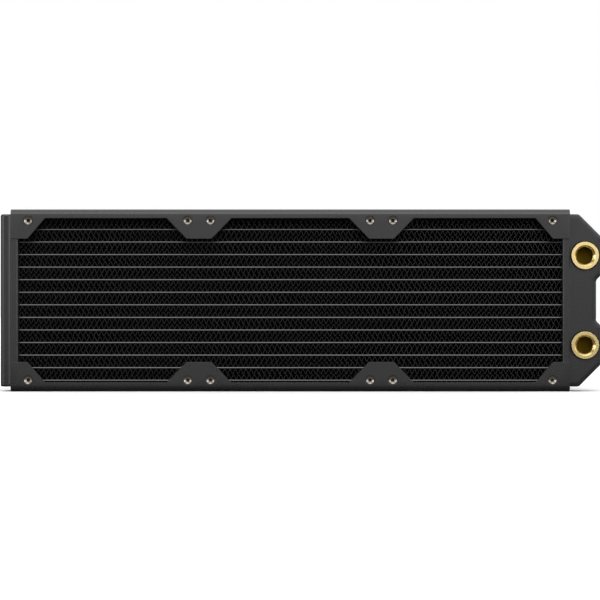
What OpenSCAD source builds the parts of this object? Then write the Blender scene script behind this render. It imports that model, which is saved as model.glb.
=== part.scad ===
// Liquid cooling radiator for three 120 mm fans.
// It stands on a long edge. X runs along the length with the port tank at +X,
// -Y is the front with the two ports, and +Z is up.
// The origin is the centre of the bounding box's bottom face.

/* [Overall size] */
// Length over both tanks
length = 396; // [390:1:410]
// Depth over both faces of the side rails
depth = 30; // [29:0.5:34]
// Height over the side rails
height = 120; // [120:1:121]

/* [Fan mounting] */
// Number of fans side by side
fan_count = 3; // [2:1:3]
// Distance between neighbouring fan centres
fan_pitch = 120; // [120:1:120]
// Side of each fan's square of screw holes
screw_square = 105; // [104:0.5:106]
// Bore of a screw bush, the minor diameter of its M3 thread
screw_bore = 2.5; // [2.4:0.05:2.6]

/* [Side rails] */
// Length of a side rail
rail_length = 368; // [366:1:370]
// Thickness of the rail sheet
rail_sheet = 1.2; // [1:0.1:1.5]
// Outer radius of the rail's two bends
rail_bend = 4; // [3:0.5:4]
// Height of the flange between the screw tabs
lip_height = 6; // [5.5:0.5:7]
// Height of the flange at the screw tabs
tab_height = 19.5; // [17:0.5:21]
// Width of a middle tab at its tip
mid_tab_tip = 16.4; // [16:0.2:20]
// Width of a middle tab where it meets the flange
mid_tab_foot = 42.6; // [36:0.2:46]
// Width of an end tab at its tip
end_tab_tip = 11.2; // [11:0.2:14]
// Width of an end tab where it meets the flange
end_tab_foot = 22.7; // [20:0.1:26]

/* [Core] */
// Number of flat tubes
tube_count = 14; // [14:1:14]
// Distance between neighbouring tubes
tube_pitch = 8.3; // [8.2:0.05:8.35]
// Height of the lowest tube's centre
first_tube_z = 7.05; // [6.9:0.05:7.2]
// Thickness of a tube
tube_thickness = 1.5; // [1.4:0.1:2.2]
// Depth of a tube, front to back
tube_depth = 18; // [16:0.5:18]
// Wall of a tube
tube_wall = 0.3; // [0.25:0.05:0.5]
// Depth of a fin strip, front to back
fin_depth = 17.6; // [15:0.1:17.8]
// Number of waves in a fin strip
fin_waves = 105; // [60:1:120]
// Thickness of the fin foil, measured straight up
fin_foil = 0.2; // [0.2:0.02:0.3]
// Thickness of the flat foil between two fin strips
separator_foil = 0.2; // [0.1:0.05:0.3]

/* [Headers and tanks] */
// Width of a header pan along the length
header_width = 4.75; // [4:0.25:6]
// Thickness of the header sheet
header_sheet = 1; // [0.8:0.1:1.2]
// Depth of a header, front to back
header_depth = 27.4; // [26:0.2:27.4]
// Height of headers and tanks
tank_height = 113.6; // [112:0.2:113.6]
// Thickness of the tank sheet
tank_sheet = 1.2; // [1:0.1:1.5]
// Depth of the port tank, front to back
port_tank_depth = 25.6; // [24:0.2:26]
// Side of the port tank's two cut corners
port_tank_chamfer = 15; // [12:0.5:16]
// How far the port tank's wall bulges out beside the ports
boss_bulge = 3.5; // [2:0.5:4]
// Distance from the middle of the tank to the start of a bulge
boss_start = 13.4; // [12:0.2:16]
// Thickness of the plate that divides the port tank
partition_sheet = 1.2; // [1:0.1:1.5]
// How far the dividing plate sits above the middle of the tank
partition_rise = 1; // [0.5:0.1:1.5]

/* [Ports] */
// Distance between the two ports
port_spacing = 59; // [56:0.5:62]
// Distance from the tank's end face to the port axis
port_inset = 11; // [10.5:0.5:12]
// Diameter of the port's flange
port_flange = 18; // [17:0.5:18]
// Height of the port's flange above the tank
port_rise = 2; // [1:0.5:2]
// Diameter of the port's spigot in the tank wall
port_spigot = 15; // [14.5:0.5:16]
// Bore of a port, the minor diameter of its G1/4 thread
port_bore = 11.445; // [11.4:0.005:11.5]
// Length of a port, flange included
port_length = 7.2; // [6:0.2:10]

/* [Screw bushes and guards] */
// Diameter of a bush in the rail sheet
bush_diameter = 6; // [5.6:0.2:6.4]
// Diameter of a bush's collar behind the sheet
bush_collar = 8; // [7:0.5:9]
// Length of a bush
bush_length = 3; // [2.4:0.2:3.4]
// Diameter of the countersink in a bush
bush_mouth = 5.2; // [4.5:0.1:5.4]
// Depth of the countersink in a bush
bush_mouth_depth = 1; // [0.6:0.1:1.2]
// Thickness of a screw guard
guard_sheet = 0.6; // [0.5:0.1:0.8]
// Height of a screw guard
guard_height = 10.3; // [10:0.1:14]
// Width of a screw guard past the screw holes it covers
guard_margin = 6; // [5:0.5:6]

/* [Hidden] */
tube_names = [for (k = [1 : tube_count]) str("flat_tube_", two_digits(k))];
bank_names = [for (k = [1 : tube_count - 1]) str("fin_bank_", two_digits(k))];

$fn = 48;
cut = 1; // how far a cutting shape runs past what it cuts
gap = 0.05; // room for solder between a tube and its slot

front_y = -depth / 2;
middle_z = height / 2;
rail_x0 = -191;
rail_x1 = rail_x0 + rail_length;
rail_middle_x = (rail_x0 + rail_x1) / 2;
core_x0 = rail_x0 + header_width;
core_x1 = rail_x1 - header_width;
tank_z0 = middle_z - tank_height / 2;
tank_end_x = length / 2;
port_x = tank_end_x - port_inset;
screw_z = (height - screw_square) / 2;
tube_room = 1; // how far a tube runs on past the header plate
channel = tube_pitch - tube_thickness;
strip_height = (channel - separator_foil) / 2;
web_z = rail_sheet;
tab_overlap = 1;

fan_x = [for (i = [0 : fan_count - 1]) rail_middle_x + (i - (fan_count - 1) / 2) * fan_pitch];
screw_x = [for (x = fan_x) for (side = [-1, 1]) x + side * screw_square / 2];
mid_tab_x = [for (i = [0 : fan_count - 2]) (fan_x[i] + fan_x[i + 1]) / 2];
tube_z = [for (k = [0 : tube_count - 1]) first_tube_z + k * tube_pitch];

coat = [0.06, 0.06, 0.06];
fin_coat = [0.04, 0.04, 0.04];
brass = [0.80, 0.69, 0.42];
steel = [0.62, 0.61, 0.58];

function two_digits(k) = k < 10 ? str("0", k) : str(k);
function mirrored(points) = concat(points, [for (i = [len(points) - 1 : -1 : 0]) [points[i].x, -points[i].y]]);

// Puts a shape on the core's lengthwise axis: its own Z becomes X, its own X becomes Y, its own Y becomes Z.
module along_x(from_x) {
  translate([from_x, 0, 0]) rotate([90, 0, 90]) children();
}

// Stands a shape drawn in X and Z upright and gives it a thickness from one Y to another.
module upright(from_y, to_y) {
  translate([0, to_y, 0]) rotate([90, 0, 0]) linear_extrude(to_y - from_y) children();
}

// Gives a cylinder or cone an axis along Y, with its start at from_y.
module along_y(x, from_y, z) {
  translate([x, from_y, z]) rotate([-90, 0, 0]) children();
}

module rounded_rectangle(width, tall, radius) {
  square([width - 2 * radius, tall], center = true);
  square([width, tall - 2 * radius], center = true);
  for (side = [-1, 1], end = [-1, 1]) {
    translate([side * (width / 2 - radius), end * (tall / 2 - radius)]) circle(radius);
  }
}

module slot_shape(width, tall) {
  square([width - tall, tall], center = true);
  for (side = [-1, 1]) translate([side * (width - tall) / 2, 0]) circle(tall / 2);
}

module both_faces() {
  children();
  mirror([0, 1, 0]) children();
}

module top_and_bottom() {
  children();
  translate([0, 0, height]) mirror([0, 0, 1]) children();
}

// Core

module flat_tube(k) {
  span = core_x1 - core_x0 + 2 * (header_sheet + tube_room);
  color(coat)
    along_x(core_x0 - header_sheet - tube_room)
      translate([0, tube_z[k], 0])
        difference() {
          linear_extrude(span) slot_shape(tube_depth, tube_thickness);
          translate([0, 0, -cut])
            linear_extrude(span + 2 * cut)
              slot_shape(tube_depth - 2 * tube_wall, tube_thickness - 2 * tube_wall);
        }
}

// One foil folded to and fro along X, as tall as the space that it fills.
module fin_strip(bottom_z, tall) {
  margin = 0.25;
  step = (core_x1 - core_x0 - 2 * margin) / (2 * fin_waves);
  fold = [
    for (i = [0 : 2 * fin_waves])
      [core_x0 + margin + i * step, bottom_z + (i % 2 == 0 ? 0 : tall - fin_foil)]
  ];
  back = [for (i = [len(fold) - 1 : -1 : 0]) [fold[i].x, fold[i].y + fin_foil]];
  upright(-fin_depth / 2, fin_depth / 2) polygon(concat(fold, back));
}

module fin_bank(k) {
  bottom_z = tube_z[k] + tube_thickness / 2;
  color(fin_coat) {
    fin_strip(bottom_z, strip_height);
    fin_strip(bottom_z + strip_height + separator_foil, strip_height);
  }
}

module lower_edge_fin() {
  color(fin_coat) fin_strip(web_z, tube_z[0] - tube_thickness / 2 - web_z);
}

module upper_edge_fin() {
  bottom_z = tube_z[tube_count - 1] + tube_thickness / 2;
  color(fin_coat) fin_strip(bottom_z, height - rail_sheet - bottom_z);
}

module fin_separators() {
  color(fin_coat)
    for (k = [0 : tube_count - 2]) {
      translate([core_x0, -fin_depth / 2, tube_z[k] + tube_thickness / 2 + strip_height])
        cube([core_x1 - core_x0, fin_depth, separator_foil]);
    }
}

// Side rails

module rail_section() {
  difference() {
    translate([0, rail_bend]) slot_shape(depth, 2 * rail_bend);
    translate([0, rail_bend]) slot_shape(depth - 2 * rail_sheet, 2 * (rail_bend - rail_sheet));
    translate([-depth, rail_bend]) square([2 * depth, 2 * rail_bend]);
  }
  for (side = [-1, 1]) {
    translate([side * (depth - rail_sheet) / 2, (rail_bend + lip_height) / 2])
      square([rail_sheet, lip_height - rail_bend], center = true);
  }
}

module tab_outline(tip_x0, tip_x1, foot_x0, foot_x1) {
  polygon([
    [foot_x0, lip_height - tab_overlap],
    [foot_x0, lip_height],
    [tip_x0, tab_height],
    [tip_x1, tab_height],
    [foot_x1, lip_height],
    [foot_x1, lip_height - tab_overlap]
  ]);
}

module screw_tabs() {
  upright(front_y, front_y + rail_sheet) {
    tab_outline(rail_x0, rail_x0 + end_tab_tip, rail_x0, rail_x0 + end_tab_foot);
    tab_outline(rail_x1 - end_tab_tip, rail_x1, rail_x1 - end_tab_foot, rail_x1);
    for (x = mid_tab_x) {
      tab_outline(x - mid_tab_tip / 2, x + mid_tab_tip / 2, x - mid_tab_foot / 2, x + mid_tab_foot / 2);
    }
  }
}

module rail() {
  color(coat)
    difference() {
      union() {
        along_x(rail_x0) linear_extrude(rail_length) rail_section();
        both_faces() screw_tabs();
      }
      for (x = screw_x) along_y(x, front_y - cut, screw_z) cylinder(depth + 2 * cut, d = bush_diameter);
    }
}

module lower_rail() {
  rail();
}

module upper_rail() {
  translate([0, 0, height]) mirror([0, 0, 1]) rail();
}

// Headers

// A pan with its slotted plate at x = 0 and its rim towards -X.
module header() {
  corner = 2.5;
  color(coat)
    difference() {
      along_x(-header_width)
        translate([0, middle_z, 0])
          linear_extrude(header_width) rounded_rectangle(header_depth, tank_height, corner);
      along_x(-header_width - cut)
        translate([0, middle_z, 0])
          linear_extrude(header_width - header_sheet + cut)
            rounded_rectangle(
              header_depth - 2 * header_sheet,
              tank_height - 2 * header_sheet,
              corner - header_sheet
            );
      for (z = tube_z) {
        along_x(-header_width - cut)
          translate([0, z, 0])
            linear_extrude(header_width + 2 * cut)
              slot_shape(tube_depth + 2 * gap, tube_thickness + 2 * gap);
      }
    }
}

module left_header() {
  translate([core_x0, 0, 0]) header();
}

module right_header() {
  translate([core_x1, 0, 0]) mirror([1, 0, 0]) header();
}

// Tanks

lip_depth = header_depth - 2 * header_sheet - 2 * gap;
lip_tall = tank_height - 2 * header_sheet - 2 * gap;
lip_corner = 1.4;

// The part of a tank that sits inside its header pan.
module tank_lip(from_x, to_x) {
  along_x(from_x)
    translate([0, middle_z, 0])
      linear_extrude(to_x - from_x) rounded_rectangle(lip_depth, lip_tall, lip_corner);
}

// The coolant space inside that lip.
module lip_space(from_x, to_x) {
  along_x(from_x)
    translate([0, middle_z, 0])
      linear_extrude(to_x - from_x)
        square([lip_depth - 2 * tank_sheet, lip_tall - 2 * tank_sheet], center = true);
}

// Outline of the return tank, seen from above: bevelled edge, crest, waist and flare.
return_half = [
  [-198, 10.2],
  [-197.6, 11.3],
  [-196.8, 12.2],
  [-195.7, 12.6],
  [-194.6, 12.3],
  [-193.2, 12.1],
  [-192.2, 12.5],
  [rail_x0, 13.5]
];

module return_tank() {
  corner = 1.3;
  inner = [for (p = return_half) [max(p.x, -length / 2 + tank_sheet), p.y - tank_sheet]];
  color(coat)
    difference() {
      union() {
        intersection() {
          translate([0, 0, tank_z0]) linear_extrude(tank_height) polygon(mirrored(return_half));
          upright(front_y, -front_y)
            translate([rail_x0 - 1, middle_z]) rounded_rectangle(12, tank_height, corner);
        }
        tank_lip(rail_x0 - tab_overlap, core_x0 - header_sheet);
      }
      translate([0, 0, tank_z0 + tank_sheet])
        linear_extrude(tank_height - 2 * tank_sheet) polygon(mirrored(inner));
      lip_space(rail_x0 - tank_sheet, core_x0);
    }
}

// Upper half of the port tank's outline in X and Z, moved inwards by an inset.
function port_half(inset) =
  let (
    slant = inset * (sqrt(2) - 1),
    top = tank_height / 2 - inset,
    end = tank_end_x - inset,
    waist = tank_end_x - boss_bulge - inset,
    corner = tank_end_x + tank_height / 2 - port_tank_chamfer - inset * sqrt(2)
  )
  [
    [rail_x1, top],
    [corner - top, top],
    [end, corner - end],
    [end, boss_start + boss_bulge + slant],
    [waist, boss_start + slant]
  ];

module port_tank() {
  inner_y = port_tank_depth / 2 - tank_sheet;
  color(coat)
    difference() {
      union() {
        upright(-port_tank_depth / 2, port_tank_depth / 2)
          translate([0, middle_z]) polygon(mirrored(port_half(0)));
        tank_lip(core_x1 + header_sheet, rail_x1 + tab_overlap);
      }
      upright(-inner_y, inner_y) translate([0, middle_z]) polygon(mirrored(port_half(tank_sheet)));
      lip_space(core_x1, rail_x1 + tank_sheet);
      for (side = [-1, 1]) {
        along_y(port_x, front_y, middle_z + side * port_spacing / 2)
          cylinder(depth / 2, d = port_spigot);
      }
    }
}

module tank_partition() {
  inner_y = lip_depth / 2 - tank_sheet;
  from_x = core_x1 + header_sheet;
  to_x = tank_end_x - boss_bulge - tank_sheet;
  color(brass)
    translate([from_x, -inner_y, middle_z + partition_rise - partition_sheet / 2])
      cube([to_x - from_x, 2 * inner_y, partition_sheet]);
}

// Ports

module port(side) {
  face_y = -port_tank_depth / 2;
  start_y = face_y - port_rise;
  edge = 0.5;
  mouth = 0.6;
  color(brass)
    along_y(port_x, start_y, middle_z + side * port_spacing / 2)
      difference() {
        union() {
          cylinder(edge, d1 = port_flange - 2 * edge, d2 = port_flange);
          translate([0, 0, edge]) cylinder(port_rise - edge, d = port_flange);
          cylinder(port_length, d = port_spigot);
        }
        translate([0, 0, -cut]) cylinder(port_length + 2 * cut, d = port_bore);
        translate([0, 0, -cut])
          cylinder(mouth + cut, d1 = port_bore + 2 * (mouth + cut), d2 = port_bore);
      }
}

module upper_port() {
  port(1);
}

module lower_port() {
  port(-1);
}

// Screw bushes and guards

module bush(x) {
  along_y(x, front_y, screw_z)
    difference() {
      union() {
        cylinder(bush_length, d = bush_diameter);
        translate([0, 0, rail_sheet]) cylinder(bush_length - rail_sheet, d = bush_collar);
      }
      translate([0, 0, -cut]) cylinder(bush_length + 2 * cut, d = screw_bore);
      cylinder(bush_mouth_depth, d1 = bush_mouth, d2 = screw_bore);
    }
}

module bushes() {
  color(steel) top_and_bottom() for (x = screw_x) bush(x);
}

module front_thread_bushes() {
  bushes();
}

module rear_thread_bushes() {
  mirror([0, 1, 0]) bushes();
}

// An angle that stands on the rail's web, with its upright between the screws and the tubes.
module guard(from_x, to_x) {
  foot_y = front_y + rail_bend;
  plate_y = -tube_depth / 2 - 0.3;
  along_x(from_x)
    linear_extrude(to_x - from_x)
      polygon([
        [foot_y, web_z],
        [plate_y, web_z],
        [plate_y, web_z + guard_height],
        [plate_y - guard_sheet, web_z + guard_height],
        [plate_y - guard_sheet, web_z + guard_sheet],
        [foot_y, web_z + guard_sheet]
      ]);
}

module guards() {
  last = len(screw_x) - 1;
  color(coat)
    top_and_bottom() {
      guard(screw_x[0] - guard_margin, screw_x[0] + guard_margin);
      guard(screw_x[last] - guard_margin, screw_x[last] + guard_margin);
      for (i = [1 : 2 : last - 1]) guard(screw_x[i] - guard_margin, screw_x[i + 1] + guard_margin);
    }
}

module front_screw_guards() {
  guards();
}

module rear_screw_guards() {
  mirror([0, 1, 0]) guards();
}

for (k = [0 : tube_count - 1]) flat_tube(k);
for (k = [0 : tube_count - 2]) fin_bank(k);
lower_edge_fin();
upper_edge_fin();
fin_separators();
lower_rail();
upper_rail();
left_header();
right_header();
return_tank();
port_tank();
tank_partition();
upper_port();
lower_port();
front_thread_bushes();
rear_thread_bushes();
front_screw_guards();
rear_screw_guards();
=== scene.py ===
# %% [markdown]
# # A liquid cooling radiator for three fans
#
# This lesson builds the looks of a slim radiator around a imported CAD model. The CAD model is the
# frame: it says where every piece is, and nothing here moves it. Each piece is then made again with
# Blender's mesh operators, finer than CAD needs it, and gets a finish made of shader nodes.
#
# The radiator stands on its long edge. X runs along it, -Y is the front with the two ports, +Z is up.

# %% Load the frame
import math

import bmesh
import bpy
from mathutils import Matrix, Vector


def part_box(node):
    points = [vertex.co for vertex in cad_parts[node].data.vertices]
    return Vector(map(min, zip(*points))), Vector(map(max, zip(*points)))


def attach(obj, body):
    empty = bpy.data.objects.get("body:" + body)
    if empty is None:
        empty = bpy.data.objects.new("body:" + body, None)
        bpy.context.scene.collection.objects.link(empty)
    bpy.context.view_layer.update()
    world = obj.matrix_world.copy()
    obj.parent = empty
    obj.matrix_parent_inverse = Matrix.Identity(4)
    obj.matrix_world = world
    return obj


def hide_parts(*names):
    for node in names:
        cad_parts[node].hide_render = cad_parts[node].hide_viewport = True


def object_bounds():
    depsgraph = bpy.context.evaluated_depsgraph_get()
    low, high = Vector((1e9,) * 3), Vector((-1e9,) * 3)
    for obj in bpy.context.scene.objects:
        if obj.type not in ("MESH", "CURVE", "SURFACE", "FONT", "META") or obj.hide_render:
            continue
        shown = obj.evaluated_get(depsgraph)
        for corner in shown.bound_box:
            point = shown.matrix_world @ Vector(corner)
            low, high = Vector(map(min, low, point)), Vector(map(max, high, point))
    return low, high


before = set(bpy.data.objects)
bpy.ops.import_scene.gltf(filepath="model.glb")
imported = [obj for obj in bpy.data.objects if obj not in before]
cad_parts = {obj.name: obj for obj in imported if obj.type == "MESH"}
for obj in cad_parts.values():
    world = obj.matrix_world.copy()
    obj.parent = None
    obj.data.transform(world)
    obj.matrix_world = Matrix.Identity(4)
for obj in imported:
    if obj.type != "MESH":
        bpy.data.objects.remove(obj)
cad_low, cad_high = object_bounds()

MM = 0.001
scene = bpy.context.scene
print("CAD box", [round(v / MM, 1) for v in (*cad_low, *cad_high)])

# %% [markdown]
# ## Where things are
#
# A few measures are read from the frame and used everywhere: the ends of the side rails, the height of
# the radiator, and the places of the screws. Reading them keeps the two models together. Typing them
# again would work too, until somebody changes the CAD model.

# %% Measures from the frame
rail_low, rail_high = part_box("lower_rail")
HEIGHT = cad_high.z
MIDDLE_Z = HEIGHT / 2
FRONT_Y = rail_low.y
FAN_PITCH = 120 * MM
SCREW_SQUARE = 105 * MM
RAIL_MIDDLE_X = (rail_low.x + rail_high.x) / 2
fan_centres = [RAIL_MIDDLE_X + step * FAN_PITCH for step in (-1, 0, 1)]
screw_columns = [x + side * SCREW_SQUARE / 2 for x in fan_centres for side in (-1, 1)]
SCREW_Z = (HEIGHT - SCREW_SQUARE) / 2
print("rails", round((rail_high.x - rail_low.x) / MM, 1), "mm long")
print("screws at", [round(x / MM, 1) for x in screw_columns])

# %% [markdown]
# ## From a bmesh to a finished piece
#
# A bmesh is Blender's editing mesh. Every piece ends the same way: the bmesh becomes a mesh, its faces
# are shaded smooth except across sharp edges, and the object is tied to the CAD body and named as the
# stand-in of its CAD node. Doing it in one helper keeps every later cell about shape only.
#
# Real sheet metal has no perfectly sharp edge. A Bevel modifier rounds each edge a little, and its
# hardened normals keep the large faces flat, so that only the thin rounded edge catches the light.

# %% Helpers that finish a piece
def make_piece(name, bm, materials, nodes, smooth_angle=35):
    mesh = bpy.data.meshes.new(name)
    bm.normal_update()
    bm.to_mesh(mesh)
    bm.free()
    for material in materials:
        mesh.materials.append(material)
    mesh.shade_smooth()
    mesh.set_sharp_from_angle(angle=math.radians(smooth_angle))
    piece = bpy.data.objects.new(name, mesh)
    scene.collection.objects.link(piece)
    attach(piece, "root")
    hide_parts(*nodes)
    print(name, len(mesh.polygons), "faces")
    return piece


def soften_edges(piece, width, segments=3, angle=40):
    bevel = piece.modifiers.new("softened edges", "BEVEL")
    bevel.width = width
    bevel.segments = segments
    bevel.limit_method = "ANGLE"
    bevel.angle_limit = math.radians(angle)
    bevel.harden_normals = True
    bevel.miter_outer = "MITER_ARC"
    return piece


def keep_flats_flat(piece):
    """Takes the shading of a bend from its large flat neighbours, as a pressed sheet has it."""
    piece.modifiers.new("flat faces stay flat", "WEIGHTED_NORMAL").keep_sharp = True
    return piece

# %% [markdown]
# ## Moves that come again and again
#
# Most pieces here are sheet metal, and the same few moves shape them: pull an edge into a new strip of
# sheet, round an edge, fill an outline round its holes, cut a piece off, turn the sheet so that its
# outer side looks out, and give it thickness. Each is one or two bmesh operators. An operator returns
# vertices, edges and faces in one list, so a helper picks one kind out of it.
#
# Two places nearer than a thousandth of a millimetre count as one, and a face looks along an axis when
# nearly all of its normal lies along it.

# %% Helpers that shape a sheet
SAME_PLACE = 0.001 * MM
FACING = 0.99


def only(kind, items):
    return [item for item in items if isinstance(item, kind)]


def everything(bm):
    return bm.verts[:] + bm.edges[:] + bm.faces[:]


def edges_of(verts):
    """The edges that have both ends among some vertices, each of them once."""
    inside = set(verts)
    links = (edge for vert in verts for edge in vert.link_edges if edge.other_vert(vert) in inside)
    return list(dict.fromkeys(links))


def runs_deep(edge):
    """Tells an edge that goes from the front to the back."""
    return abs(edge.verts[0].co.y - edge.verts[1].co.y) > SAME_PLACE


def pull(bm, edges, offset):
    """Extrudes edges, moves the new ones and returns all that was made."""
    made = bmesh.ops.extrude_edge_only(bm, edges=edges)["geom"]
    bmesh.ops.translate(bm, verts=only(bmesh.types.BMVert, made), vec=offset)
    return made


def round_edges(bm, edges, width, segments, profile=0.5):
    """Bevels edges of the mesh itself, where a later step needs the round shape."""
    bmesh.ops.bevel(
        bm, geom=edges, offset=width, segments=segments, profile=profile, affect="EDGES", material=-1
    )


def fill_between(bm, loops):
    """Fills the first loop of edges and leaves the others as holes."""
    edges = [edge for loop in loops for edge in loop]
    bmesh.ops.triangle_fill(bm, use_beauty=True, edges=edges)


def cut_away(bm, x, outwards):
    """Drops what lies outwards of a plane across X and returns the edges of the cut."""
    cut = bmesh.ops.bisect_plane(
        bm, geom=everything(bm), plane_co=(x, 0, 0), plane_no=(outwards, 0, 0), clear_outer=True
    )
    return only(bmesh.types.BMEdge, cut["geom_cut"])


def face_towards(bm, direction):
    """Turns an open sheet over if its outermost face in a direction looks the other way."""
    bmesh.ops.recalc_face_normals(bm, faces=bm.faces[:])
    direction = Vector(direction)
    outermost = max(bm.faces, key=lambda face: face.calc_center_median().dot(direction))
    if outermost.normal.dot(direction) < 0:
        bmesh.ops.reverse_faces(bm, faces=bm.faces[:])


def give_thickness(bm, thickness):
    """Adds a second skin behind the faces and closes the rim."""
    bmesh.ops.solidify(bm, geom=bm.faces[:], thickness=thickness)

# %% [markdown]
# ## Finishes: effects that several materials share
#
# Paint grain, rubbed edges and turning rings each show on more than one finish. Each is a node group: a
# small node tree with named inputs and outputs that is built once and placed in many materials. The
# same nodes could be copied into every material, but then a change would have to be made in each.

# %% Node group helpers
def new_group(name, inputs, outputs):
    tree = bpy.data.node_groups.new(name, "ShaderNodeTree")
    for label, kind, value in inputs:
        socket = tree.interface.new_socket(label, in_out="INPUT", socket_type=kind)
        if value is not None:
            socket.default_value = value
    for label, kind in outputs:
        tree.interface.new_socket(label, in_out="OUTPUT", socket_type=kind)
    return tree, tree.nodes.new("NodeGroupInput"), tree.nodes.new("NodeGroupOutput")


def add_node(tree, kind, settings=None, values=None):
    node = tree.nodes.new(kind)
    for key, value in (settings or {}).items():
        setattr(node, key, value)
    for key, value in (values or {}).items():
        node.inputs[key].default_value = value
    return node


def calculate(tree, operation, first, second):
    node = tree.nodes.new("ShaderNodeMath")
    node.operation = operation
    for socket, value in zip(node.inputs, (first, second)):
        if isinstance(value, (int, float)):
            socket.default_value = value
        else:
            tree.links.new(value, socket)
    return node.outputs[0]

# %% [markdown]
# ### Paint grain
#
# Powder coat is sprayed as dry grains and melted, so up close it has a fine orange-peel swell, and its
# gloss wanders a little. The other paints have it too, most of them weaker. The group mixes a fine noise
# with a wide one, and each material sets its own grain, depth, colours and roughness.

# %% Group: paint grain
def make_paint_grain():
    tree, given, result = new_group(
        "paint grain",
        [
            ("Grain per Metre", "NodeSocketFloat", 1500.0),
            ("Depth", "NodeSocketFloat", 0.3),
            ("Dark", "NodeSocketColor", (0.02, 0.02, 0.02, 1)),
            ("Light", "NodeSocketColor", (0.03, 0.03, 0.03, 1)),
            ("Smoothest", "NodeSocketFloat", 0.35),
            ("Roughest", "NodeSocketFloat", 0.45),
        ],
        [
            ("Color", "NodeSocketColor"),
            ("Roughness", "NodeSocketFloat"),
            ("Normal", "NodeSocketVector"),
        ],
    )
    link = tree.links.new
    place = add_node(tree, "ShaderNodeTexCoord").outputs["Object"]
    swell = add_node(tree, "ShaderNodeTexNoise", values={"Detail": 3.0, "Roughness": 0.6})
    cloud = add_node(tree, "ShaderNodeTexNoise", values={"Scale": 28.0, "Detail": 4.0})
    bump = add_node(tree, "ShaderNodeBump", values={"Distance": 0.03 * MM})
    tint = add_node(tree, "ShaderNodeMix", {"data_type": "RGBA"})
    gloss = add_node(tree, "ShaderNodeMapRange", values={"From Min": 0.3, "From Max": 0.7})
    link(place, swell.inputs["Vector"])
    link(given.outputs["Grain per Metre"], swell.inputs["Scale"])
    link(place, cloud.inputs["Vector"])
    link(swell.outputs["Fac"], bump.inputs["Height"])
    link(given.outputs["Depth"], bump.inputs["Strength"])
    mixed = calculate(tree, "MULTIPLY_ADD", swell.outputs["Fac"], 0.5)
    link(calculate(tree, "MULTIPLY", cloud.outputs["Fac"], 0.5), mixed.node.inputs[2])
    link(mixed, tint.inputs["Factor"])
    link(given.outputs["Dark"], tint.inputs["A"])
    link(given.outputs["Light"], tint.inputs["B"])
    link(mixed, gloss.inputs["Value"])
    link(given.outputs["Smoothest"], gloss.inputs["To Min"])
    link(given.outputs["Roughest"], gloss.inputs["To Max"])
    link(tint.outputs["Result"], result.inputs["Color"])
    link(gloss.outputs["Result"], result.inputs["Roughness"])
    link(bump.outputs["Normal"], result.inputs["Normal"])
    return tree


paint_grain = make_paint_grain()
print(paint_grain.name, len(paint_grain.nodes), "nodes")

# %% [markdown]
# ### Edge rub
#
# A coat is thinner on edges and looks a little paler there. This group finds the edges: it compares the
# true normal with one that the Bevel node rounds off, breaks the difference up with noise, and puts out
# a mask. A mask painted by hand would have to be painted again after every change of shape.

# %% Group: edge rub
def make_edge_rub():
    tree, given, result = new_group(
        "edge rub",
        [("Reach", "NodeSocketFloat", 0.4 * MM), ("Amount", "NodeSocketFloat", 0.5)],
        [("Mask", "NodeSocketFloat")],
    )
    link = tree.links.new
    rounded = add_node(tree, "ShaderNodeBevel", {"samples": 4})
    true_normal = add_node(tree, "ShaderNodeNewGeometry").outputs["Normal"]
    likeness = add_node(tree, "ShaderNodeVectorMath", {"operation": "DOT_PRODUCT"})
    place = add_node(tree, "ShaderNodeTexCoord").outputs["Object"]
    patches = add_node(tree, "ShaderNodeTexNoise", values={"Scale": 160.0, "Detail": 3.0})
    edge = add_node(tree, "ShaderNodeMapRange", values={"From Min": 0.98, "From Max": 0.75})
    link(given.outputs["Reach"], rounded.inputs["Radius"])
    link(rounded.outputs["Normal"], likeness.inputs[0])
    link(true_normal, likeness.inputs[1])
    link(likeness.outputs["Value"], edge.inputs["Value"])
    link(place, patches.inputs["Vector"])
    worn = calculate(tree, "MULTIPLY", edge.outputs["Result"], patches.outputs["Fac"])
    link(calculate(tree, "MULTIPLY", worn, given.outputs["Amount"]), result.inputs["Mask"])
    return tree


edge_rub = make_edge_rub()
print(edge_rub.name, len(edge_rub.nodes), "nodes")

# %% [markdown]
# ### Turning rings
#
# Turned metal carries fine rings round its axis. The group drops the share of a position along Y, takes
# the distance to the axis that is left, and feeds it to a noise in one dimension: the same distance gets
# the same value all round. Rings give the bump and the gloss, and a cloud of tarnish gives the mask.

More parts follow.
